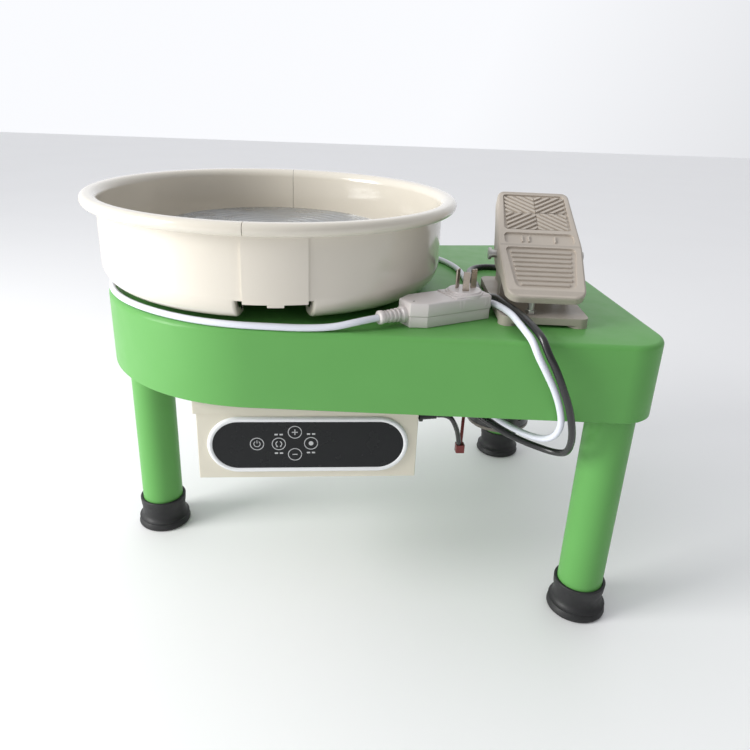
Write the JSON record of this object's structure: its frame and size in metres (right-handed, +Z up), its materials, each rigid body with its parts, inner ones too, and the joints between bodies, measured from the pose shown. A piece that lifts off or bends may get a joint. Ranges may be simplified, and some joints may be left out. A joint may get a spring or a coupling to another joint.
{
  "type": "electric pottery wheel",
  "caption": "Table-top pottery wheel with a removable two-piece splash basin, belt-driven head, hanging control box, motor, foot pedal and corded plug.",
  "frame": {"origin": "on the floor under the middle of the machine's bounding box, cords not counted", "axes": "+X from the wheel towards the pedal end, +Y towards the back, +Z up; the wheel's axis is parallel to Z at x -0.088, y 0"},
  "size_m": [0.57, 0.4375, 0.4297],
  "materials": {
    "table_paint": "satin green paint",
    "rubber": "matt",
    "zinc": "zinc plated",
    "iron_black": "painted casting",
    "bearing_steel": "ground",
    "head_aluminium": "turned",
    "motor_black": "semi-gloss black",
    "motor_steel": "dark",
    "basin_ivory": "glossy ivory",
    "box_cream": "satin cream paint",
    "bezel_white": "glossy",
    "panel_black": "glossy film",
    "board_green": "solder mask",
    "pedal_grey": "warm grey casting",
    "cord_black": "satin sheath",
    "cord_white": "satin sheath",
    "plug_white": "satin moulding",
    "pin_nickel": "nickel",
    "lead_red": "sleeve"
  },
  "bodies": {
    "frame": {"table_top": "table_paint", "table_apron": "table_paint", "leg_sockets": "table_paint", "leg_left": "table_paint", "leg_front_right": "table_paint", "leg_back_right": "table_paint", "leg_screws": "zinc", "foot_left": "rubber", "foot_front_right": "rubber", "foot_back_right": "rubber", "bearing_housing": "iron_black", "housing_bolts": "zinc", "bearing_upper": "bearing_steel", "bearing_lower": "bearing_steel", "drive_belt": "rubber", "motor_body": "motor_black", "motor_end_ring": "motor_steel", "motor_flange": "head_aluminium", "motor_bolts": "zinc", "motor_bracket": "zinc", "bracket_posts": "zinc", "basin_seat": "basin_ivory", "basin_pads": "rubber", "basin_half_right": "basin_ivory", "control_box": "box_cream", "control_cover": "box_cream", "box_hangers": "zinc", "box_screws": "zinc", "panel_bezel": "bezel_white", "panel_glass": "panel_black", "touch_board": "board_green", "controller_board": "board_green", "mains_gland": "bezel_white", "pedal_lead_gland": "rubber", "motor_lead_gland": "rubber", "pedal_base": "pedal_grey", "pedal_pin": "zinc", "pedal_stop_screw": "zinc", "pedal_sensor": "board_green", "pedal_bumper": "rubber", "pedal_gland": "rubber", "pedal_cable": "cord_black", "mains_cord": "cord_white", "plug_base": "plug_white", "plug_cover": "plug_white", "plug_pins": "pin_nickel", "plug_relief": "plug_white", "motor_lead_black": "cord_black", "motor_lead_red": "lead_red", "lead_connector": "lead_red"},
    "wheel": {"spindle": "bearing_steel", "wheel_head": "head_aluminium", "wheel_hub": "head_aluminium", "hub_screws": "zinc", "driven_pulley": "head_aluminium"},
    "motor_rotor": {"motor_shaft": "bearing_steel", "motor_pulley": "head_aluminium"},
    "treadle": {"pedal_tread": "pedal_grey", "pedal_magnet": "motor_steel"},
    "basin_left": {"basin_half_left": "basin_ivory"}
  },
  "joints": [
    {"name": "wheel_spin", "type": "hinge", "parent": "frame", "child": "wheel", "pos_m": [-0.088, 0, 0.35], "axis": [0, 0, 1], "continuous": true},
    {"name": "motor_spin", "type": "hinge", "parent": "frame", "child": "motor_rotor", "pos_m": [0.172, -0.053, 0.27], "axis": [0, 0, 1], "continuous": true},
    {"name": "treadle_rock", "type": "hinge", "parent": "frame", "child": "treadle", "pos_m": [0.18046, -0.09632, 0.3755], "axis": [0.9951, -0.0993, 0], "range_deg": [-26, 0]},
    {"name": "basin_slide", "type": "slide", "parent": "frame", "child": "basin_left", "axis": [-0.9962, 0.0872, 0], "range_m": [0, 0.25]}
  ],
  "couplings": [
    {"joint": "motor_spin", "follows": "wheel_spin", "ratio": 4.6875}
  ]
}
